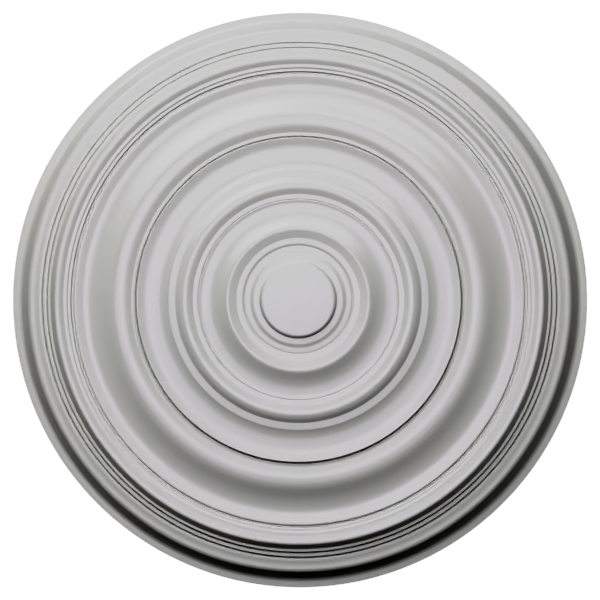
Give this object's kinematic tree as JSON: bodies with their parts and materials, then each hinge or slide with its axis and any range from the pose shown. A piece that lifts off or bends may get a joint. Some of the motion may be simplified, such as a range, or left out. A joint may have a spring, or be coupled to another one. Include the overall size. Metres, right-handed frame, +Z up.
{
  "type": "ceiling rose",
  "caption": "Round moulded ceiling rose: a flat centre plate inside concentric swells, coves and fine steps, fixed by its flat back to a ceiling around a light point.",
  "frame": {"origin": "centre of the flat back, in the plane of the ceiling", "axes": "+Z up, square to the ceiling and along the axis of the rings; the moulded face looks down along -Z; X and Y lie in the ceiling plane"},
  "size_m": [0.619, 0.619, 0.0435],
  "materials": {
    "primed_white": "smooth factory primer, satin"
  },
  "bodies": {
    "root": {"ceiling_rose": "primed_white"}
  },
  "joints": []
}
